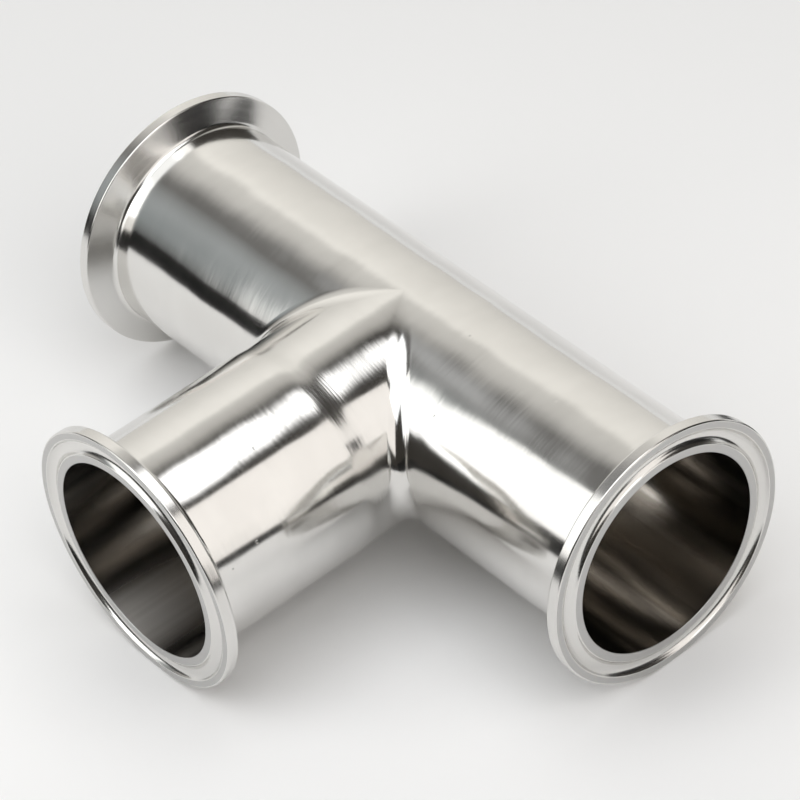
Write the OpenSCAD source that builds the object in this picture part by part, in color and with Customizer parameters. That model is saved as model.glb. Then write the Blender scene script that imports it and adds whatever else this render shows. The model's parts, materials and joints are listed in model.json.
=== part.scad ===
// Sanitary clamp tee: a polished stainless tube tee with the same clamp ferrule on all three ports.
// Millimetres. The run lies along X, the branch points towards -Y, +Z is up, and the axes cross at the origin.

/* [Tube] */
// Outside diameter of the tube
tube_d = 51; // [46:0.5:54]
// Wall thickness of the tube
wall = 1.2; // [0.8:0.1:2]
// Length of the run from the crossing of the axes to either end face
run_leg = 81.5; // [60:0.5:140]
// Length of the branch from the crossing of the axes to its end face
branch_leg = 80.5; // [60:0.5:140]

/* [Clamp ferrule] */
// Outside diameter of the clamp flange
flange_d = 64; // [62.5:0.5:72]
// Thickness of the flange at its rim
rim_w = 2.85; // [2:0.05:4]
// Round on both edges of the rim
rim_round = 0.4; // [0.2:0.05:0.6]
// Slope of the flange's back, in degrees from its face
back_slope = 20; // [10:1:30]
// Radius of the hollow between the sloped back and the tube
neck_round = 5; // [2:0.5:6]

/* [Gasket groove] */
// Diameter of the circle along the middle of the groove
groove_d = 56.4; // [55.4:0.2:57.4]
// Width of the groove across its mouth
groove_w = 3.6; // [2.4:0.1:4]
// Depth of the groove below the end face
groove_depth = 1.2; // [0.6:0.1:1.6]
// Radius of the rounded lip on either side of the groove
lip_round = 0.3; // [0.1:0.05:0.4]

/* [Crotch] */
// Radius of the hollow blend on the outside, where the branch is drawn out of the run
crotch_round = 4; // [2:0.5:8]

/* [Hidden] */
$fn = 96;

tube_r = tube_d / 2;
bore_r = tube_r - wall;
flange_r = flange_d / 2;
groove_r = groove_d / 2;

// The bores are cut this far past the end faces
cut_past = 1;

// Straight pieces along a quarter turn of each small arc of the ferrule's outline
arc_steps = 6;

// Pieces of the crotch blend: across its hollow, and along it from the underside to the top
blend_across = 6;
blend_along = 30;
// The blend stops this many degrees short of the top and the underside, where it has run out
blend_stop = 4;
// The blend sinks this far past the walls that it joins, so that it crosses them
blend_sink = 0.03;
// The blend's buried edge lies this far beyond its hollow
blend_root = 2.5;

function unit(v) = v / norm(v);
function polar(r, a) = [r * cos(a), r * sin(a)];

// Points on an arc in the outline, from one angle to another
function arc(centre, r, from, to, steps = arc_steps) =
    [for (i = [0:steps]) centre + polar(r, from + (to - from) * i / steps)];

// Points on the ferrule's outline are [radius, distance behind the end face]

// Outer and inner lips of the groove, each a small round that runs into the groove's own round bottom.
// The bottom is an arc through the lips' edges at the mouth and the groove's full depth.
groove_bottom_r = (groove_depth ^ 2 + (groove_w / 2) ^ 2) / (2 * groove_depth);
groove_centre = groove_depth - groove_bottom_r;
lip_reach = sqrt((groove_bottom_r + lip_round) ^ 2 - (lip_round - groove_centre) ^ 2);
lip_turn = atan2(lip_reach, lip_round - groove_centre);

function groove_outline() = concat(
    arc([groove_r + lip_reach, lip_round], lip_round, -90, -90 - lip_turn),
    arc([groove_r, groove_centre], groove_bottom_r, 90 - lip_turn, 90 + lip_turn, 2 * arc_steps),
    arc([groove_r - lip_reach, lip_round], lip_round, lip_turn - 90, -90));

// The sloped back, from the rim's rear round to the hollow neck, which ends tangent to the tube
back_turn = 90 - back_slope;
rim_rear = [flange_r - rim_round, rim_w - rim_round];
back_edge = rim_rear + polar(rim_round, back_turn);
neck_r = tube_r + neck_round;
neck_start_r = neck_r - neck_round * cos(back_turn);
neck_start = back_edge[1] + (back_edge[0] - neck_start_r) * tan(back_slope);
neck_end = neck_start + neck_round * sin(back_turn);

function back_outline() = concat(
    arc([neck_r, neck_end], neck_round, 180, 180 + back_turn, 2 * arc_steps),
    arc(rim_rear, rim_round, back_turn, 0),
    arc([flange_r - rim_round, rim_round], rim_round, 0, -90));

// One leg of the tee, solid, standing on the crossing of the axes with its end face upwards
module leg(length) {
    ferrule = concat(back_outline(), groove_outline());
    rotate_extrude()
        translate([0, length])
            mirror([0, 1])
                polygon(concat([[0, length], [tube_r, length]], ferrule, [[0, 0]]));
}

// Puts its children on the run's left or right leg, or on the branch
module along_run(side) { rotate([0, side * 90, 0]) children(); }
module along_branch() { rotate([90, 0, 0]) children(); }

// A ball that touches both walls of the crotch rolls along this line, at angle t above the horizontal
function ball(t, r) = r * [cos(t), -cos(t), sin(t)];
function towards_run(t) = [0, cos(t), -sin(t)];
function towards_branch(t) = [-cos(t), 0, -sin(t)];

// Direction from the ball to the blend, a share s of the way from the run's wall to the branch's
function blend_turn(t) = acos(sin(t) ^ 2);
function blend_dir(t, s) =
    (sin((1 - s) * blend_turn(t)) * towards_run(t) + sin(s * blend_turn(t)) * towards_branch(t))
    / sin(blend_turn(t));

// Section through the blend at angle t: the hollow, and one buried point behind it
function blend_section(t, r) = concat(
    [for (j = [0:blend_across]) ball(t, tube_r + crotch_round) + r * blend_dir(t, j / blend_across)],
    [ball(t, tube_r + crotch_round)
        + (r / cos(blend_turn(t) / 2) + blend_root) * unit(towards_run(t) + towards_branch(t))]);

// Solid wedge in the right-hand crotch, hollow towards the ball, at distance r from the ball's middle
module blend(r) {
    stop = 90 - blend_stop;
    corners = blend_across + 2;
    rows = [for (i = [0:blend_along]) blend_section(-stop + 2 * stop * i / blend_along, r)];
    sides = [for (i = [0:blend_along - 1], j = [0:corners - 1])
        let (a = i * corners + j, b = i * corners + (j + 1) % corners)
            each [[a, b, a + corners], [b, b + corners, a + corners]]];
    first = [for (j = [corners - 1:-1:0]) j];
    last = [for (j = [0:corners - 1]) blend_along * corners + j];
    polyhedron([for (row = rows) each row], concat(sides, [first, last]), convexity = 4);
}

module both_crotches() {
    for (side = [0, 1])
        mirror([side, 0, 0])
            children();
}

// Everything that the tee's outside encloses
module outside() {
    for (side = [-1, 1])
        along_run(side) leg(run_leg);
    along_branch() leg(branch_leg);
    both_crotches() blend(crotch_round + blend_sink);
}

// The way through the tee: the two bores and the rounded edge where they meet
module inside() {
    along_run(1)
        translate([0, 0, -run_leg - cut_past])
            cylinder(h = 2 * (run_leg + cut_past), r = bore_r);
    along_branch() cylinder(h = branch_leg + cut_past, r = bore_r);
    both_crotches() blend(crotch_round + wall + blend_sink);
}

// The tee: drawn from one tube, with its three ferrules welded on and the welds polished away
module clamp_tee() {
    color("lightsteelblue")
        difference() {
            outside();
            inside();
        }
}

clamp_tee();
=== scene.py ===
# %% [markdown]
# # A sanitary clamp tee in polished steel
# The tee joins three lines of thin stainless tube. Its body is one tube with a collar pulled out of
# its side, a short branch welded to that collar, and a clamp ferrule welded to each of the three ports.
# The welds are ground and polished, so that the whole thing reads as one mirror with satin end faces.
# The measured solid comes in first and stays as it is: everything below is fitted to it.

# %% Load the measured solid
import json
from math import pi, radians

import bpy
from mathutils import Euler, Matrix, Vector


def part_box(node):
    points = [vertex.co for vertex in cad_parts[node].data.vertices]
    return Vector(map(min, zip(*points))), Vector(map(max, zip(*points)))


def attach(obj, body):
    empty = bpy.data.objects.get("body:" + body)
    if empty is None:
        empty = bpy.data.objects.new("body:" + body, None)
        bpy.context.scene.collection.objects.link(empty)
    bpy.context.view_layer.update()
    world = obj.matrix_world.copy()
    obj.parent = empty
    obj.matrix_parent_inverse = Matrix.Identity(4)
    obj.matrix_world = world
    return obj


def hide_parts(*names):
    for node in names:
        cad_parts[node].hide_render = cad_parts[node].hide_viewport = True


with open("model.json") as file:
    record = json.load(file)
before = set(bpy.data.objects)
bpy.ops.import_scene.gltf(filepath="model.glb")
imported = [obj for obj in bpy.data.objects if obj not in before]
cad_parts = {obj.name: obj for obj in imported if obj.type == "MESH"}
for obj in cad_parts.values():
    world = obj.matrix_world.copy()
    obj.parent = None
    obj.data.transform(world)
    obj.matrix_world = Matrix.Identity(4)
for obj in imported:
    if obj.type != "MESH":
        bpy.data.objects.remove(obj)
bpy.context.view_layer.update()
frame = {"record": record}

# %% [markdown]
# ## Sizes
# The run lies along X, the branch points to -Y and the axes cross at the origin. Whatever can be
# measured on the solid is measured, so that the looks follow it. The small sizes of the ferrule can't
# be read from a box, so they are written here, in metres, as a drawing of such a ferrule gives them.

# %% Read the sizes
mm = 0.001
low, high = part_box("clamp_tee")
mounts = {mount["name"]: mount for mount in frame["record"]["mounts"]}

bore_radius = mounts["run_bore"]["dims"]["r_mm"] * mm
tube_wall = 1.2 * mm
floor_height = low.z

sizes = {
    "Tube Radius": bore_radius + tube_wall,
    "Bore Radius": bore_radius,
    "Run Leg": high.x,
    "Branch Leg": -low.y,
    "Crotch Radius": 4 * mm,
    "Crotch Growth": 12 * mm,
    "Collar Drop": 0.35 * mm,
    "Flange Radius": high.z,
    "Rim Width": 2.85 * mm,
    "Rim Round": 0.4 * mm,
    "Back Slope": radians(20),
    "Neck Round": 1.5 * mm,
    "Groove Radius": 28.2 * mm,
    "Groove Width": 3.6 * mm,
    "Groove Depth": 1.2 * mm,
    "Lip Round": 0.3 * mm,
    "Bore Edge": 0.15 * mm,
}
for name, value in sizes.items():
    print(f"{name}: {value:.5f}")

# %% [markdown]
# ## Camera
# The photograph looks down on the tee from the front right with a long lens. Setting the camera up
# first means that every later choice can be judged in the picture. The view is given as a photographer
# would say it: which way round, how high, how far, how much the camera is rolled, and where it aims.

# %% Set up the camera
view_azimuth = radians(54.30)
view_height = radians(42.27)
view_roll = radians(-7.57)
view_distance = 0.9215
view_aim = Vector((0.0035, -0.0076, 0))
view_lens = 187.3
film_width = 36
nearest_seen = 0.01

camera_data = bpy.data.cameras.new("camera")
camera_data.sensor_width = film_width
camera_data.lens = view_lens
camera_data.clip_start = nearest_seen
camera = bpy.data.objects.new("camera", camera_data)
bpy.context.scene.collection.objects.link(camera)
turn = Euler((pi / 2 - view_height, 0, view_azimuth)).to_matrix() @ Matrix.Rotation(view_roll, 3, "Z")
camera.matrix_world = Matrix.Translation(view_aim + turn @ Vector((0, 0, view_distance))) @ turn.to_4x4()
bpy.context.scene.camera = camera
bpy.context.scene.view_settings.view_transform = "Standard"
print("camera at", [round(c, 3) for c in camera.matrix_world.translation])

# %% [markdown]
# ## Typing formulas as nodes
# Every surface of this tee follows a rule, so it is made with Geometry Nodes. A rule with many terms is
# hard to read as a web of Math nodes. A small class helps: it stands for one output of a node, and plus,
# minus, times and the rest on it add the Math nodes. The formula can then be typed as it is on paper.

# %% A wire that does arithmetic
class Wire:
    """One output of a node; arithmetic on it adds Math nodes to the same tree."""

    def __init__(self, socket):
        self.socket = socket

    def maths(self, operation, first, second=0.0, clamp=False):
        inputs = {0: first, 1: second}
        return node(self.socket.id_data, "ShaderNodeMath", inputs, operation=operation, use_clamp=clamp)

    def __add__(self, other):
        return self.maths("ADD", self, other)

    def __radd__(self, other):
        return self.maths("ADD", other, self)

    def __sub__(self, other):
        return self.maths("SUBTRACT", self, other)

    def __rsub__(self, other):
        return self.maths("SUBTRACT", other, self)

    def __mul__(self, other):
        return self.maths("MULTIPLY", self, other)

    def __rmul__(self, other):
        return self.maths("MULTIPLY", other, self)

    def __truediv__(self, other):
        return self.maths("DIVIDE", self, other)

    def __neg__(self):
        return self.maths("MULTIPLY", self, -1.0)

    def __pow__(self, other):
        return self.maths("POWER", self, other)

    def clamped(self):
        return self.maths("ADD", self, 0.0, clamp=True)

    def root(self):
        return self.maths("SQRT", self)

    def sin(self):
        return self.maths("SINE", self)

    def cos(self):
        return self.maths("COSINE", self)

    def tan(self):
        return self.maths("TANGENT", self)

    def angle_to(self, across):
        return self.maths("ARCTAN2", self, across)


print("besides plus and minus, a wire knows:", [name for name in vars(Wire) if not name.startswith("_")])

# %% [markdown]
# ## Adding nodes and trees
# In the node editor a node is added, its options are picked, and its inputs are typed in or joined to
# other nodes. One function does all of that here and hands back an output as a wire, so a line of code
# reads like one node. Another starts a tree with named inputs, which later show on the modifier.

# %% Add nodes and trees
def plug(socket, value):
    """Joins a wire to a socket, or sets a plain value on it."""
    if isinstance(value, Wire):
        socket.id_data.links.new(value.socket, socket)
    else:
        socket.default_value = value


def node(tree, kind, inputs=None, output=0, **settings):
    """Adds a node, sets its options, fills its inputs and returns one of its outputs."""
    made = tree.nodes.new(kind)
    for name, value in settings.items():
        setattr(made, name, value)
    for name, value in (inputs or {}).items():
        for one in value if isinstance(value, list) else [value]:
            plug(made.inputs[name], one)
    return Wire(made.outputs[output])


def new_tree(name, inputs, outputs=("Geometry",)):
    """A geometry tree with named inputs; returns the tree, its inputs as wires and its output node."""
    tree = bpy.data.node_groups.new(name, "GeometryNodeTree")
    for label, kind in inputs.items():
        tree.interface.new_socket(label, in_out="INPUT", socket_type="NodeSocket" + kind)
    for label in outputs:
        kind = "Geometry" if label == "Geometry" else "Float"
        tree.interface.new_socket(label, in_out="OUTPUT", socket_type="NodeSocket" + kind)
    entry = tree.nodes.new("NodeGroupInput")
    print(name, "takes", ", ".join(inputs))
    return tree, {label: Wire(entry.outputs[label]) for label in inputs}, tree.nodes.new("NodeGroupOutput")


# %% [markdown]
# ## The drawn body
# On the real tee a ball is pulled through a hole in the tube's side, which draws a collar out of it, so
# the wall flows from the run into the branch over a hollow that is tight at the crotch, and gets softer
# and runs out to nothing at the top and the underside. A boolean of two cylinders would leave a knife
# edge there, and a bevel of that edge makes a ragged mesh that a mirror finish shows up at once.
#
# So the surface is written as a formula, and a flat grid is bent to it. The grid's rows stand for angles
# above the horizontal, and its columns go along the run, over the hollow and out along the branch. Each
# point also notes how much of it belongs to the branch, because the finishes need to know that later.

# %% Bend a flat grid
skin_inputs = {
    "Tube Radius": "Float", "Crotch Radius": "Float", "Crotch Growth": "Float", "Collar Drop": "Float",
    "Run Reach": "Float", "Branch Reach": "Float",
    "Around": "Int", "Run Steps": "Int", "Hollow Steps": "Int", "Branch Steps": "Int",
    "Outside": "Bool",
}
skin_tree, size, skin_out = new_tree("tee_skin", skin_inputs)


def vector(tree, x, y, z):
    return node(tree, "ShaderNodeCombineXYZ", {"X": x, "Y": y, "Z": z})


def part_of(tree, place, axis):
    return node(tree, "ShaderNodeSeparateXYZ", {"Vector": place}, axis)


def stored(tree, part, name, value, data_type="FLOAT", domain="POINT"):
    fields = {"Geometry": part, "Name": name, "Value": value}
    return node(tree, "GeometryNodeStoreNamedAttribute", fields, data_type=data_type, domain=domain)


def flat_grid(columns, rows):
    """A flat grid, with wires for the column number and for the angle above the horizontal."""
    lines = {"Size X": columns, "Size Y": pi, "Vertices X": columns + 1, "Vertices Y": rows + 1}
    grid = node(skin_tree, "GeometryNodeMeshGrid", lines)
    place = node(skin_tree, "GeometryNodeInputPosition")
    return grid, part_of(skin_tree, place, "X") + columns / 2, part_of(skin_tree, place, "Y")


def bend(grid, x, y, z, branch_share):
    """Moves the grid's points to a formula, and notes how much each belongs to the branch."""
    noted = stored(skin_tree, grid, "branch_share", branch_share)
    place = {"Geometry": noted, "Position": vector(skin_tree, x, y, z)}
    return node(skin_tree, "GeometryNodeSetPosition", place)


columns = size["Run Steps"] + size["Hollow Steps"] + size["Branch Steps"]
grid, column, angle = flat_grid(columns, size["Around"] / 2)
print("the grid and its numbers take", len(skin_tree.nodes), "nodes")

# %% [markdown]
# ## The rolling ball
# Think of a ball that rolls along the crotch, touches both tubes and swells as it climbs. Its middle, its
# two points of touch and the arc between them are all known for any angle above the horizontal, and the
# hollow is made of those arcs. It touches both tubes without a crease, whatever the ball's size.

# %% Roll the ball
growth_power = 8.0
across, up = angle.cos(), angle.sin()

# The ball's radius stays small for most of the climb and grows close to the top and the underside
radius = size["Tube Radius"]
hollow = size["Crotch Radius"] + size["Crotch Growth"] * up ** growth_power

# Shares of the way: back to the run's end, over the hollow, and out to the branch's end
to_run = (1.0 - column / size["Run Steps"]).clamped()
over = ((column - size["Run Steps"]) / size["Hollow Steps"]).clamped()
past = column - size["Run Steps"] - size["Hollow Steps"]
to_branch = (past / size["Branch Steps"]).clamped()

# Direction from the ball's middle to the hollow, from the run's wall round to the branch's
toward_x = -(over * across)
toward_y = (1.0 - over) * across
reach = (toward_x ** 2.0 + toward_y ** 2.0 + up ** 2.0).root()
ball = (radius + hollow) * across
print("with the ball,", len(skin_tree.nodes), "nodes")

# %% [markdown]
# ## The ground weld
# The branch is welded to the collar and the weld is ground off, which leaves the collar a hair lower
# than the branch. That is only a third of a millimetre, and a bump in the finish could stand for it, but
# it breaks the reflections, so it is made in the shape: the ball's radius is a little larger there.

# %% Grind the collar and place a quarter of the skin
collar_start = 12 * mm
collar_edge = 30.5 * mm
branch_start = 36 * mm


def ramp(tree, value, start, end, shape="SMOOTHSTEP"):
    """Goes from 0 to 1 while the value goes from start to end."""
    limits = {"Value": value, "From Min": start, "From Max": end}
    return node(tree, "ShaderNodeMapRange", limits, interpolation_type=shape)


out_along = ball - hollow * toward_y / reach + (size["Branch Reach"] - ball) * to_branch
sinking = ramp(skin_tree, out_along, collar_start, collar_edge, "LINEAR")
rising = ramp(skin_tree, out_along, collar_edge, branch_start)
collar = (sinking - rising) * size["Collar Drop"] * over
gap = (hollow + collar) / reach

quarter = bend(
    grid,
    ball + gap * toward_x + (size["Run Reach"] - ball) * to_run,
    -(ball - gap * toward_y + (size["Branch Reach"] - ball) * to_branch),
    (radius + hollow) * up - gap * up,
    over,
)
print("with the ground collar,", len(skin_tree.nodes), "nodes")

# %% [markdown]
# ## The rest of the skin
# The piece so far lies right of the branch. Its mirror image lies left of it, and since mirroring turns a
# mesh inside out, its faces are flipped back. The far half of the run has no branch, so it is a plain
# half tube from a second grid. The outer skin's faces are flipped once more at the end, so that they
# look outwards, while those of the inner skin look into the bore.

# %% Complete the skin
def joined(tree, parts):
    return node(tree, "GeometryNodeJoinGeometry", {"Geometry": parts})


def moved(tree, part, translation=(0, 0, 0), rotation=(0, 0, 0), scale=(1, 1, 1)):
    places = {"Geometry": part, "Translation": translation, "Rotation": rotation, "Scale": scale}
    return node(tree, "GeometryNodeTransform", places)


mirrored = node(skin_tree, "GeometryNodeFlipFaces", {"Mesh": moved(skin_tree, quarter, scale=(-1, 1, 1))})

back_columns = 2.0 * size["Run Steps"]
back_grid, back_column, back_angle = flat_grid(back_columns, size["Around"] / 2)
back = bend(
    back_grid,
    (back_column / size["Run Steps"] - 1.0) * size["Run Reach"],
    radius * back_angle.cos(),
    radius * back_angle.sin(),
    0.0,
)

skin = joined(skin_tree, [quarter, mirrored, back])
facing = {"Mesh": skin, "Selection": size["Outside"]}
plug(skin_out.inputs["Geometry"], node(skin_tree, "GeometryNodeFlipFaces", facing))
print("the whole skin takes", len(skin_tree.nodes), "nodes")

# %% [markdown]
# ## The clamp ferrule
# Each port ends in a turned ring: a bore, a flat land, a round-bottomed groove for the gasket's bead, a
# second land, a rim with rounded edges, a back that slopes by 20 degrees for the clamp to pull on, and a
# small hollow round where that back runs into the tube. The tube mirrors the back just beside it, which
# looks like one more ring but isn't. A lathe makes the ferrule from one outline, and so does the tree:
# arcs and lines are drawn in the plane of radius and depth, and Curve to Mesh sweeps them round a circle.
# Drawing each arc from its own centre keeps the outline exact and needs no list of points.

# %% Draw and sweep an outline
finishes = ["Polished", "Turned", "Land", "Bore"]
ferrule_sizes = [
    "Tube Radius", "Bore Radius", "Flange Radius", "Rim Width", "Rim Round", "Back Slope", "Neck Round",
    "Groove Radius", "Groove Width", "Groove Depth", "Lip Round", "Bore Edge",
]
ferrule_inputs = {label: "Float" for label in ferrule_sizes}
ferrule_inputs["Around"] = "Int"
ferrule_tree, size, ferrule_out = new_tree("clamp_ferrule", ferrule_inputs, ("Geometry", "Neck End"))


def line(start, end, cuts):
    """A straight stretch of the outline between two points of radius and depth."""
    ends = {"Start": vector(ferrule_tree, *start, 0.0), "End": vector(ferrule_tree, *end, 0.0)}
    drawn = node(ferrule_tree, "GeometryNodeCurvePrimitiveLine", ends)
    return node(ferrule_tree, "GeometryNodeSubdivideCurve", {"Curve": drawn, "Cuts": cuts})


def arc(centre, round_radius, start, sweep, steps):
    """A round stretch of the outline about a centre, from a start angle through a sweep."""
    turns = {"Resolution": steps + 1, "Radius": round_radius, "Start Angle": start, "Sweep Angle": sweep}
    drawn = node(ferrule_tree, "GeometryNodeCurveArc", turns)
    return moved(ferrule_tree, drawn, vector(ferrule_tree, *centre, 0.0))


def finished(tree, part, finish):
    """Notes on each face which of the finishes it has, by its place in the list."""
    return stored(tree, part, "finish", finishes.index(finish), "INT", "FACE")


def swept(stretches, finish):
    """Sweeps stretches of the outline round the bore's circle and notes their finish."""
    circle = {"Resolution": size["Around"], "Radius": size["Bore Radius"]}
    path = node(ferrule_tree, "GeometryNodeCurvePrimitiveCircle", circle)
    outline = moved(ferrule_tree, joined(ferrule_tree, stretches), vector(ferrule_tree, -bore, 0.0, 0.0))
    ring = node(ferrule_tree, "GeometryNodeCurveToMesh", {"Curve": path, "Profile Curve": outline})
    return finished(ferrule_tree, ring, finish)


print("finishes by number:", dict(enumerate(finishes)))

# %% [markdown]
# ## Where the arcs touch
# Two arcs, or an arc and a line, flow into each other where they share a tangent, and that fixes where
# each begins and ends. The groove's bottom is an arc through both edges of its mouth, and each lip is an
# arc that touches it. The sloped back touches the rim's rear round at one end and the neck at the other.
# Typed-in points would do as well, but they would all be wrong as soon as one size changed.

# %% Work out the groove and the back
bore, edge = size["Bore Radius"], size["Bore Edge"]
tube, flange = size["Tube Radius"], size["Flange Radius"]
rim_width, rim_round = size["Rim Width"], size["Rim Round"]
groove, depth, lip = size["Groove Radius"], size["Groove Depth"], size["Lip Round"]

bottom = (depth ** 2.0 + (size["Groove Width"] / 2) ** 2.0) / (2.0 * depth)
bottom_centre = depth - bottom
lip_reach = ((bottom + lip) ** 2.0 - (lip - bottom_centre) ** 2.0).root()
lip_turn = lip_reach.angle_to(lip - bottom_centre)

back_turn = pi / 2 - size["Back Slope"]
rear = (flange - rim_round, rim_width - rim_round)
back_edge = (rear[0] + rim_round * back_turn.cos(), rear[1] + rim_round * back_turn.sin())
neck_centre = tube + size["Neck Round"]
neck_start = neck_centre - size["Neck Round"] * back_turn.cos()
neck_depth = back_edge[1] + (back_edge[0] - neck_start) * size["Back Slope"].tan()
neck_end = neck_depth + size["Neck Round"] * back_turn.sin()
print("the points of touch take", len(ferrule_tree.nodes), "nodes")

# %% [markdown]
# ## Sweeping the ferrule
# The bore's wall, the two lands, and the outside with its groove are swept apart, because each of the
# three has a finish of its own. A number on every face notes which. Every round gets several steps,
# however small it is, because it is the rounds that catch the light.

# %% Sweep the ferrule
bore_wall = [line((bore, neck_end), (bore, edge), cuts=3)]
lands = [
    arc((bore + edge, edge), edge, pi, pi / 2, steps=4),
    line((bore + edge, 0.0), (groove - lip_reach, 0.0), cuts=4),
    line((groove + lip_reach, 0.0), (flange - rim_round, 0.0), cuts=4),
]
outside = [
    arc((groove - lip_reach, lip), lip, -pi / 2, lip_turn, steps=6),
    arc((groove, bottom_centre), bottom, pi / 2 + lip_turn, -2.0 * lip_turn, steps=16),
    arc((groove + lip_reach, lip), lip, -pi / 2 - lip_turn, lip_turn, steps=6),
    arc((flange - rim_round, rim_round), rim_round, -pi / 2, pi / 2, steps=8),
    line((flange, rim_round), (flange, rim_width - rim_round), cuts=4),
    arc(rear, rim_round, 0.0, back_turn, steps=6),
    line(back_edge, (neck_start, neck_depth), cuts=5),
    arc((neck_centre, neck_end), size["Neck Round"], pi + back_turn, -back_turn, steps=16),
]
ring = joined(ferrule_tree, [swept(bore_wall, "Bore"), swept(lands, "Land"), swept(outside, "Turned")])
plug(ferrule_out.inputs["Geometry"], ring)
plug(ferrule_out.inputs["Neck End"], neck_end)
print("the whole ferrule takes", len(ferrule_tree.nodes), "nodes")

# %% [markdown]
# ## Patterns for steel
# Metal that is worked shows how it was worked, in marks that all run one way. Noise gives such marks when
# it is fine one way and coarse the other. The run and the branch need it turned different ways, and the
# branch_share that the skin's tree stored says which to use where. A picture of scratches could be wrapped
# on instead, but it would need a seam. The marks go into a Bump node, which takes heights times its
# Distance, so all heights here are in millimetres.

# %% Start a metal and its patterns
steel_colour = (0.72, 0.71, 0.69, 1)


def new_metal(name, colour=steel_colour):
    """A material with a metal shader; returns the material, its tree and the shader's inputs."""
    material = bpy.data.materials.new(name)
    material.use_nodes = True
    tree = material.node_tree
    shader = tree.nodes["Principled BSDF"]
    shader.inputs["Base Color"].default_value = colour
    shader.inputs["Metallic"].default_value = 1
    print("new metal:", name)
    return material, tree, shader.inputs


def relief(tree, shader, height):
    """Bumps the surface by a height in millimetres."""
    bump = {"Height": height, "Strength": 1.0, "Distance": mm}
    plug(shader["Normal"], node(tree, "ShaderNodeBump", bump))


def branch_share_in(tree):
    return node(tree, "ShaderNodeAttribute", output="Fac", attribute_name="branch_share")


def object_place(tree):
    return node(tree, "ShaderNodeTexCoord", output="Object")


def scaled(tree, place, x, y, z):
    inputs = {0: place, 1: (x, y, z)}
    return node(tree, "ShaderNodeVectorMath", inputs, operation="MULTIPLY")


def noise(tree, place, detail=2.0):
    return node(tree, "ShaderNodeTexNoise", {"Vector": place, "Scale": 1.0, "Detail": detail}, output="Fac")


def clouds(tree, scale, detail=1.0):
    """Noise that is as fine one way as another."""
    return noise(tree, scaled(tree, object_place(tree), scale, scale, scale), detail)


def blended(tree, share, first, second):
    return node(tree, "ShaderNodeMix", {"Factor": share, "A": first, "B": second})


def blended_colour(tree, share, first, second):
    colours = {"Factor": share, "A": first, "B": second}
    return node(tree, "ShaderNodeMix", colours, 2, data_type="RGBA")


def drawn_out(tree, share, along, across, detail=2.0):
    """Noise with one scale along the run or the branch, whichever it is on, and another across it."""
    place = object_place(tree)
    on_run = noise(tree, scaled(tree, place, along, across, across), detail)
    on_branch = noise(tree, scaled(tree, place, across, along, across), detail)
    return blended(tree, share, on_run, on_branch)


# %% [markdown]
# ## Polished tubes
# The tubes are buffed to a mirror with a wheel that runs round them, so what marks are left run round
# them too: faint lines that fray the edges of the reflections. Under the lines lie the slow waves that a
# hand-held wheel leaves, small dimples, a thin haze and a few tiny pits. The ground weld on the branch is
# rougher than the rest. Waves and dimples could be modelled, but they are too slight to show in an outline.

# %% Make the polished finish
hazy_colour = (0.71, 0.7, 0.68, 1)
clear_colour = (0.755, 0.745, 0.725, 1)
weld_start = 27 * mm
weld_end = 38 * mm
weld_fade = 4 * mm

polished, tree, shader = new_metal("polished_tube")
share = branch_share_in(tree)
from_run = -1.0 * part_of(tree, object_place(tree), "Y")
weld_on = ramp(tree, from_run, weld_start, weld_start + weld_fade)
weld_off = ramp(tree, from_run, weld_end - weld_fade, weld_end)
ground = (weld_on - weld_off) * share

fine_lines = drawn_out(tree, share, along=1400.0, across=90.0)
wide_lines = drawn_out(tree, share, along=380.0, across=45.0)
dimples = clouds(tree, scale=220.0)
waves = clouds(tree, scale=45.0)
haze = clouds(tree, scale=70.0, detail=3.0)
spots = node(tree, "ShaderNodeTexVoronoi", {"Vector": object_place(tree), "Scale": 110.0})
pits = ramp(tree, spots, start=0.045, end=0.025)
print("patterns of the polished finish take", len(tree.nodes), "nodes")

# %% [markdown]
# ## Mixing the polished finish
# Three things are mixed from these patterns: how far each lifts the surface, how much it roughens it, and
# how clear the steel's colour is. The waves are the highest by far, but so wide that they only bend the
# reflections. The fine lines are a hundred times lower and do the fraying.

# %% Mix the polished finish
fine_height = 0.004
ground_height = 0.02
wide_height = 0.01
dimple_height = 0.012
wave_height = 0.4
pit_depth = 0.03

buffed_roughness = 0.05
line_roughness = 0.07
haze_roughness = 0.08
ground_roughness = 0.05

lines = fine_lines * (fine_height + ground * ground_height) + wide_lines * wide_height
relief(tree, shader, lines + dimples * dimple_height + waves * wave_height - pits * pit_depth)
marks = fine_lines * line_roughness
plug(shader["Roughness"], buffed_roughness + marks + haze * haze_roughness + ground * ground_roughness)
clearness = ramp(tree, haze * 0.85 + wide_lines * 0.15, start=0.3, end=0.7)
plug(shader["Base Color"], blended_colour(tree, clearness, hazy_colour, clear_colour))
print("polished finish has", len(tree.nodes), "nodes")

# %% [markdown]
# ## Turned ferrules
# The ferrules come from a lathe, so every mark on them is a ring round the port. A ring has one distance
# from the port's axis and one place along it, and noise that reads only those two numbers is the same all
# the way round. The outside and the gasket's groove are turned bright. The flat lands beside the groove
# are left a satin grey, because a gasket seals on them.

# %% Make the turned finishes
satin_colour = (0.51, 0.505, 0.497, 1)
ring_height = 0.004
turned_wave_height = 0.12
turned_roughness = 0.12
land_ring_height = 0.006
land_roughness = 0.25
ring_roughness = 0.12


def length(tree, place):
    return node(tree, "ShaderNodeVectorMath", {0: place}, "Value", operation="LENGTH")


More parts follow.
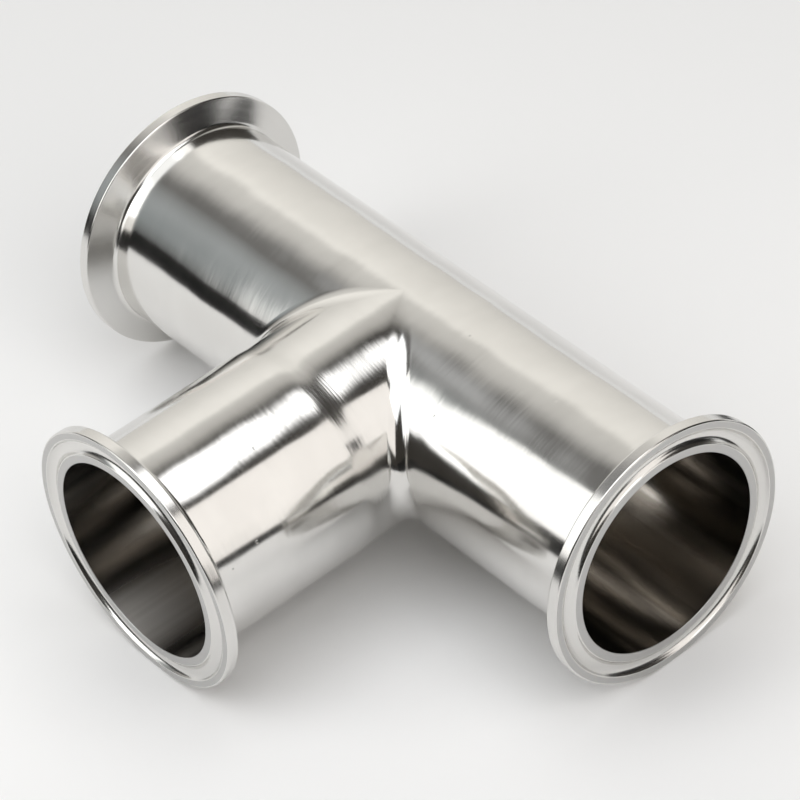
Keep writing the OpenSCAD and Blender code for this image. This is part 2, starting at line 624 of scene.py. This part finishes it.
def lathe_rings(tree, scale):
    """Noise that is the same all the way round a port."""
    share = branch_share_in(tree)
    place = object_place(tree)
    off_run = length(tree, scaled(tree, place, 0, 1, 1))
    off_branch = length(tree, scaled(tree, place, 1, 0, 1))
    away = blended(tree, share, off_run, off_branch)
    along = blended(tree, share, part_of(tree, place, "X"), part_of(tree, place, "Y"))
    return noise(tree, scaled(tree, vector(tree, away, along, 0.0), scale, scale, scale))


turned, tree, shader = new_metal("turned_ferrule")
rings = lathe_rings(tree, scale=1800.0)
waves = clouds(tree, scale=80.0)
relief(tree, shader, rings * ring_height + waves * turned_wave_height)
plug(shader["Roughness"], turned_roughness + rings * ring_roughness)

land, tree, shader = new_metal("satin_land", satin_colour)
rings = lathe_rings(tree, scale=2600.0)
relief(tree, shader, rings * land_ring_height)
plug(shader["Roughness"], land_roughness + rings * ring_roughness)
print("turned finishes:", turned.name, "and", land.name)

# %% [markdown]
# ## Bores
# Inside, the tube keeps more of the mill's finish: browner and duller, with soft streaks along its length
# where the rolls that shaped it pressed harder. Most of its darkness isn't paint at all. A tube sees
# mainly its own dark wall, and the renderer works that out, so only the streaks are drawn here, with the
# same noise as the polisher's lines but stretched the other way. The branch is a plainer piece of tube
# with weaker streaks, and a strip at the bottom of its mouth is brushed: being rough, it catches light
# from outside, where the smooth wall beside it mirrors the dark.

# %% Draw the bore's streaks
dull_colour = (0.42, 0.39, 0.35, 1)
pressed_colour = (0.7, 0.67, 0.635, 1)
plain_colour = (0.55, 0.535, 0.515, 1)
plain_share = 0.5
streak_height = 0.015
hair_height = 0.005

bore_steel, tree, shader = new_metal("bore_wall")
share = branch_share_in(tree)
streaks = drawn_out(tree, share, along=3.0, across=120.0, detail=1.0)
hairs = drawn_out(tree, share, along=9.0, across=600.0, detail=1.0)
pressed = ramp(tree, streaks * 0.75 + hairs * 0.4, start=0.42, end=0.75)
streaked = blended_colour(tree, pressed, dull_colour, pressed_colour)
plug(shader["Base Color"], blended_colour(tree, share * plain_share, streaked, plain_colour))
relief(tree, shader, streaks * streak_height + hairs * hair_height)
print("streaks take", len(tree.nodes), "nodes")

# %% Brush the strip at the branch's mouth
brushed_side = (-0.19, 0, -0.98)
brushed_start = 40 * mm
brushed_end = 80 * mm
strip_edge = 21 * mm
strip_middle = 24.1 * mm
bore_roughness = 0.09
streak_roughness = 0.14
brushed_roughness = 0.34


def how_far(tree, place, side):
    """How far a place lies towards a side, or how well a direction faces it."""
    return node(tree, "ShaderNodeVectorMath", {0: place, 1: side}, "Value", operation="DOT_PRODUCT")


place = object_place(tree)
near_mouth = ramp(tree, -1.0 * part_of(tree, place, "Y"), brushed_start, brushed_end)
in_strip = ramp(tree, how_far(tree, place, brushed_side), strip_edge, strip_middle)
brushed = near_mouth * in_strip * share
plug(shader["Roughness"], bore_roughness + streaks * streak_roughness + brushed * brushed_roughness)
print("bore finish has", len(tree.nodes), "nodes")

# %% [markdown]
# ## Putting the tee together
# One last tree joins two skins, one outside and one inside with the wall's thickness between them, and
# sets the same ferrule on all three ports. A copy is turned to face along its leg and moved to its end.
# Copies could be made of three finished meshes as well, but with one ferrule in the tree they can't differ.

# %% Set skins and ferrules in place
outer_steps = (16, 20, 80)
inner_steps = (16, 12, 16)
tee_inputs = {label: "Float" for label in sizes}
tee_inputs.update({label: "Material" for label in finishes})
tee_inputs["Around"] = "Int"
tee_tree, size, tee_out = new_tree("clamp_tee", tee_inputs)


def group(inner_tree, values):
    """Runs one of the trees above inside the tee's tree and returns its node."""
    made = tee_tree.nodes.new("GeometryNodeGroup")
    made.node_tree = inner_tree
    for label, value in values.items():
        plug(made.inputs[label], value)
    return made


made = group(ferrule_tree, {label: size[label] for label in ferrule_inputs})
ferrule, neck_end = Wire(made.outputs["Geometry"]), Wire(made.outputs["Neck End"])


def body_skin(tube_radius, crotch_radius, drop, steps, outside, finish):
    """One skin of the body, with its finish noted; steps are along the run, over the hollow and out."""
    made = group(skin_tree, {
        "Tube Radius": tube_radius, "Crotch Radius": crotch_radius, "Collar Drop": drop,
        "Crotch Growth": size["Crotch Growth"],
        "Run Reach": size["Run Leg"] - neck_end, "Branch Reach": size["Branch Leg"] - neck_end,
        "Around": size["Around"], "Run Steps": steps[0], "Hollow Steps": steps[1], "Branch Steps": steps[2],
        "Outside": outside,
    })
    return finished(tee_tree, Wire(made.outputs["Geometry"]), finish)


def port(translation, rotation, share):
    """A copy of the ferrule at the end of a leg."""
    noted = stored(tee_tree, ferrule, "branch_share", share)
    copy = node(tee_tree, "GeometryNodeGeometryToInstance", {"Geometry": noted})
    return moved(tee_tree, copy, translation, rotation)


outer, inner, crotch = size["Tube Radius"], size["Bore Radius"], size["Crotch Radius"]
parts = [
    body_skin(outer, crotch, size["Collar Drop"], outer_steps, True, "Polished"),
    body_skin(inner, crotch + (outer - inner), 0.0, inner_steps, False, "Bore"),
    port(vector(tee_tree, size["Run Leg"], 0.0, 0.0), (0, pi / 2, 0), 0.0),
    port(vector(tee_tree, -size["Run Leg"], 0.0, 0.0), (0, -pi / 2, 0), 0.0),
    port(vector(tee_tree, 0.0, -size["Branch Leg"], 0.0), (pi / 2, 0, 0), 1.0),
]
print("the tee is joined from", len(parts), "parts")

# %% [markdown]
# ## Closing the seams
# All rings have the same number of points, so the seams meet point on point and Merge by Distance closes
# them into one watertight wall. The finishes go on last, by the number that each face carries, because
# pieces that are joined with their own materials bring empty slots along.

# %% Close the seams and set the finishes
seam_distance = 0.001 * mm
whole = node(tee_tree, "GeometryNodeRealizeInstances", {"Geometry": joined(tee_tree, parts)})
whole = node(tee_tree, "GeometryNodeMergeByDistance", {"Geometry": whole, "Distance": seam_distance})
whole = node(tee_tree, "GeometryNodeSetShadeSmooth", {"Geometry": whole})
noted_finish = node(tee_tree, "GeometryNodeInputNamedAttribute", {"Name": "finish"}, data_type="INT")
for number, finish in enumerate(finishes):
    chosen = {"A": noted_finish, "B": number}
    has_finish = node(tee_tree, "FunctionNodeCompare", chosen, data_type="INT", operation="EQUAL")
    coat = {"Geometry": whole, "Selection": has_finish, "Material": size[finish]}
    whole = node(tee_tree, "GeometryNodeSetMaterial", coat)
plug(tee_out.inputs["Geometry"], whole)
print("tee tree has", len(tee_tree.nodes), "nodes")

# %% [markdown]
# ## From nodes to a mesh
# A tree does nothing until a modifier runs it, so an empty object gets one, with every input filled in
# before it runs for the first time. A second modifier, Weighted Normal, lets the large faces win where
# they meet small rounds, which keeps the lands flat in reflections. What comes out is then copied into a
# plain mesh and both modifiers go, so that the tee is the same in any program that opens it.
# 144 points round a tube are enough for its outline to look round, and few enough to stay light.

# %% Make the tee's mesh
points_around = 144
tee = bpy.data.objects.new("clamp_tee_steel", bpy.data.meshes.new("clamp_tee_steel"))
bpy.context.scene.collection.objects.link(tee)
nodes_modifier = tee.modifiers.new("clamp_tee", "NODES")
nodes_modifier.node_group = tee_tree
values = dict(sizes, Polished=polished, Turned=turned, Land=land, Bore=bore_steel, Around=points_around)
for item in tee_tree.interface.items_tree:
    if item.in_out == "INPUT":
        nodes_modifier[item.identifier] = values[item.name]
flat_lands = tee.modifiers.new("flat_lands", "WEIGHTED_NORMAL")
flat_lands.keep_sharp = False

ready = bpy.context.evaluated_depsgraph_get()
finished_tee = tee.evaluated_get(ready)
mesh = bpy.data.meshes.new_from_object(finished_tee, preserve_all_data_layers=True, depsgraph=ready)
tee.modifiers.clear()
tee.data = mesh

# The grids bring an empty material slot along, which no face uses
for index in reversed(range(len(mesh.materials))):
    if mesh.materials[index] is None:
        mesh.materials.pop(index=index)
triangles = sum(len(face.vertices) - 2 for face in mesh.polygons)
print("tee:", len(mesh.vertices), "points,", triangles, "triangles")
print("finishes:", [material.name for material in mesh.materials])

# %% [markdown]
# ## The floor
# The tee lies on its three rims on a sheet of white paper. A plain square does for it, wide enough to run
# out of sight. Far from the tee the paper also glows a little, but only where the camera or a reflection
# sees it: there it stands for the white that goes on behind. Close by it is lit by the lamps alone, so
# that the tee's shadow stays on it.

# %% Lay the floor
floor_half = 10.0
paper_colour = (0.868, 0.864, 0.86, 1)
paper_roughness = 0.9
paper_gloss = 0.1
glow_colour = (0.97, 0.985, 1, 1)
glow_start = 0.15
glow_end = 0.9
glow_strength = 0.55

floor_data = bpy.data.meshes.new("floor")
corners = [(x * floor_half, y * floor_half, floor_height) for x, y in ((-1, -1), (1, -1), (1, 1), (-1, 1))]
floor_data.from_pydata(corners, [], [(0, 1, 2, 3)])
floor = bpy.data.objects.new("floor", floor_data)
bpy.context.scene.collection.objects.link(floor)

paper = bpy.data.materials.new("white_paper")
paper.use_nodes = True
tree = paper.node_tree
shader = tree.nodes["Principled BSDF"].inputs
shader["Base Color"].default_value = paper_colour
shader["Roughness"].default_value = paper_roughness
shader["Specular IOR Level"].default_value = paper_gloss
shader["Emission Color"].default_value = glow_colour
seen = node(tree, "ShaderNodeLightPath", output="Is Camera Ray")
for ray in ("Is Glossy Ray", "Is Transmission Ray"):
    seen = seen.maths("MAXIMUM", seen, node(tree, "ShaderNodeLightPath", output=ray))
far_off = ramp(tree, length(tree, object_place(tree)), glow_start, glow_end)
plug(shader["Emission Strength"], seen * far_off * glow_strength)
floor_data.materials.append(paper)
print("floor at", round(floor_height, 4), "m")

# %% [markdown]
# ## Soft boxes
# Polished steel shows its surroundings and little else, so the light is part of its look. Each soft box is
# an area light, given by where it hangs, what it faces and how bright its cloth is. A lamp's watts are
# spread over its cloth, so they are worked out from that brightness. A real cloth is darker towards its
# edge, and the light's own nodes do that. A picture of a studio on the world could do the same as the
# boxes, but a box can be moved, and it throws a shadow that agrees with its reflection.

# %% Make a soft box
ellipse_share = pi / 4


def fade_edges(light, fades):
    """Lets the light fall off towards some of its edges, over a share of its width or height."""
    light.use_nodes = True
    tree = light.node_tree
    place = node(tree, "ShaderNodeNewGeometry", output="Parametric")
    across, up = part_of(tree, place, "X"), part_of(tree, place, "Y")
    off_centre = ((across * 2.0 - 1.0) ** 2.0 + (up * 2.0 - 1.0) ** 2.0).root()
    inside = {"start": across, "bottom": up, "rim": 1.0 - off_centre}
    strength = 1.0
    for side, share in fades.items():
        strength = strength * ramp(tree, inside[side], 0.0, share)
    plug(tree.nodes["Emission"].inputs["Strength"], strength)


def soft_box(name, place, facing, along, width, height, brightness, colour, fades=None, mirrored=True):
    """An area light with its width along a direction, whose cloth has the given brightness."""
    light = bpy.data.lights.new(name, "AREA")
    light.shape = "ELLIPSE" if fades and "rim" in fades else "RECTANGLE"
    light.size = width
    light.size_y = height
    light.color = colour
    cloth = width * height * (ellipse_share if light.shape == "ELLIPSE" else 1)
    light.energy = brightness * pi * cloth
    if fades:
        fade_edges(light, fades)
    hung = bpy.data.objects.new(name, light)
    bpy.context.scene.collection.objects.link(hung)
    back = -Vector(facing).normalized()
    side = Vector(along)
    turn = Matrix((side, back.cross(side), back)).transposed()
    hung.matrix_world = Matrix.Translation(place) @ turn.to_4x4()
    hung.visible_camera = False
    hung.visible_glossy = mirrored
    print(name, "gives", round(light.energy, 2), "W")


# %% [markdown]
# ## Hanging the boxes
# Every clear patch of white on the tubes is one of these: one above and behind, two on the right, one at
# the front left with a faint patch of light beside it, and a wide one high overhead. Two fills are there
# to brighten the floor, and the one on the right is kept out of reflections, where it would show as one
# more patch. None of them is seen by the camera itself.

# %% Hang the soft boxes
white_light = (1, 1, 1)
paper_light = (1, 0.99, 0.97)
warm_light = (1, 0.965, 0.93)
cool_light = (0.96, 0.98, 1)
pale_blue_light = (0.95, 0.98, 1)

soft_box(
    "box_above", (0.055, 0.15, 0.62), facing=(0, 0, -1), along=(1, 0, 0), width=0.51, height=0.278,
    brightness=2.0, colour=white_light, fades={"rim": 0.35},
)
soft_box(
    "box_right", (0.46, 0.255, 0.395), facing=(-1, 0, 0), along=(0, 1, 0), width=0.33, height=0.79,
    brightness=1.2, colour=warm_light,
)
soft_box(
    "box_side", (0.46, -0.095, 0.45), facing=(-1, 0, 0), along=(0, 1, 0), width=0.37, height=0.68,
    brightness=1.15, colour=warm_light, fades={"bottom": 0.06},
)
soft_box(
    "box_front", (-0.179, -0.29, 0.309), facing=(0, 1, 0), along=(0.982, 0, 0.191), width=0.293,
    height=0.526, brightness=1.36, colour=paper_light, fades={"start": 0.205},
)
soft_box(
    "patch_left", (-0.34, -0.125, 0.5), facing=(0.6, 0.194, -0.776), along=(0.791, 0, 0.612), width=0.13,
    height=0.36, brightness=0.36, colour=pale_blue_light, fades={"rim": 0.9},
)
soft_box(
    "box_top", (0.2, -0.325, 1.3), facing=(0, 0, -1), along=(1, 0, 0), width=1.5, height=1.05,
    brightness=1.78, colour=cool_light,
)
soft_box(
    "fill_front", (-0.22, -1.1, 0.95), facing=(0, 0.757, -0.654), along=(1, 0, 0), width=0.75, height=0.8,
    brightness=1.65, colour=cool_light,
)
soft_box(
    "fill_right", (0.95, -0.1, 0.95), facing=(-0.707, 0, -0.707), along=(0, 1, 0), width=0.9, height=0.8,
    brightness=0.8, colour=cool_light, mirrored=False,
)

# %% [markdown]
# ## Black cards
# Black lines make polished metal read as metal, and photographers stand black cards beside it to get
# them. Low cards round this tee draw the thin dark line along the branch, the one along the run and the
# dark upper part of the left flange's back. They could be dark gaps between the soft boxes, but the edge
# of a card is easier to set: raising it by a centimetre widens a line by a few pixels. Only reflections
# see them.

# %% Stand the black cards
black_colour = (0.015, 0.015, 0.015, 1)
black = bpy.data.materials.new("black_card")
black.use_nodes = True
shader = black.node_tree.nodes["Principled BSDF"].inputs
shader["Base Color"].default_value = black_colour
shader["Specular IOR Level"].default_value = 0


def black_card(name, start, end, height):
    """A card that stands on the floor between two points; only reflections see it."""
    foot, top = floor_height, floor_height + height
    data = bpy.data.meshes.new(name)
    data.from_pydata([(*start, foot), (*end, foot), (*end, top), (*start, top)], [], [(0, 1, 2, 3)])
    data.materials.append(black)
    card = bpy.data.objects.new(name, data)
    bpy.context.scene.collection.objects.link(card)
    card.visible_camera = False
    card.visible_diffuse = False
    card.visible_shadow = False
    print(name, "is", round(height / mm), "mm high")


black_card("card_front", start=(-0.21, -0.27), end=(0.35, -0.27), height=0.074)
black_card("card_front_left", start=(-0.6, -0.27), end=(-0.21, -0.27), height=0.09)
black_card("card_right", start=(0.37, -0.35), end=(0.37, 0.6), height=0.047)
black_card("card_back", start=(0.28, 0.13), end=(0.28, 0.6), height=0.19)
black_card("card_behind", start=(0.0, 0.12), end=(0.28, 0.13), height=0.03)

# %% [markdown]
# ## The room
# What is neither floor nor box nor card is the room, and the tubes mirror that too. It is dim and a little
# brown, but three places in it are brighter: the white sheet behind the tee, which gets lighter upwards
# and ends in a step that shows as an edge on the run, a grey wall above it, and a bluish window at the
# left. How well a direction faces one of them is all that the world's nodes need to know for each.

# %% Dim the room
room_colour = (0.042, 0.038, 0.033)
sheet_colour = (1, 0.98, 0.93)
sheet_side = (-0.81, 0.587, 0)
sheet_steps = [(0.44, 0.58, 0.44), (0.58, 0.7, 0.14), (0.7, 0.75, 0.34)]
sheet_level = 0.78
sheet_rise = 0.5
wall_colour = (0.165, 0.165, 0.163)
wall_side = (-0.75, -0.1, 0.65)
window_colour = (0.27, 0.3, 0.31)
window_side = (-0.62, -0.62, 0.48)

world = bpy.data.worlds.new("dim_room")
bpy.context.scene.world = world
world.use_nodes = True
tree = world.node_tree
direction = node(tree, "ShaderNodeTexCoord", output="Generated")


def tinted(colour, strength):
    return node(tree, "ShaderNodeVectorMath", {0: colour, "Scale": strength}, operation="SCALE")


def added(first, second):
    return node(tree, "ShaderNodeVectorMath", {0: first, 1: second}, operation="ADD")


def patch(colour, side, start, end):
    """A place on one side of the room, which gets brighter from one share of facing it to another."""
    return tinted(colour, ramp(tree, how_far(tree, direction, side), start, end, "LINEAR"))


towards_sheet = how_far(tree, direction, sheet_side)
sheet_light = 0.0
for start, end, step in sheet_steps:
    sheet_light = sheet_light + ramp(tree, towards_sheet, start, end, "LINEAR") * step
lighter_upwards = sheet_level + part_of(tree, direction, "Z") * sheet_rise
sheet = tinted(sheet_colour, sheet_light * lighter_upwards)

wall = patch(wall_colour, wall_side, start=0.8, end=1.0)
window = patch(window_colour, window_side, start=0.91, end=0.99)
whole_room = added(added(sheet, window), added(wall, room_colour))
plug(tree.nodes["Background"].inputs["Color"], whole_room)
print("room has", len(tree.nodes), "nodes")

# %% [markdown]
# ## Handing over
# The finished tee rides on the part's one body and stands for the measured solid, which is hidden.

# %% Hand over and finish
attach(tee, "root")
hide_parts("clamp_tee")
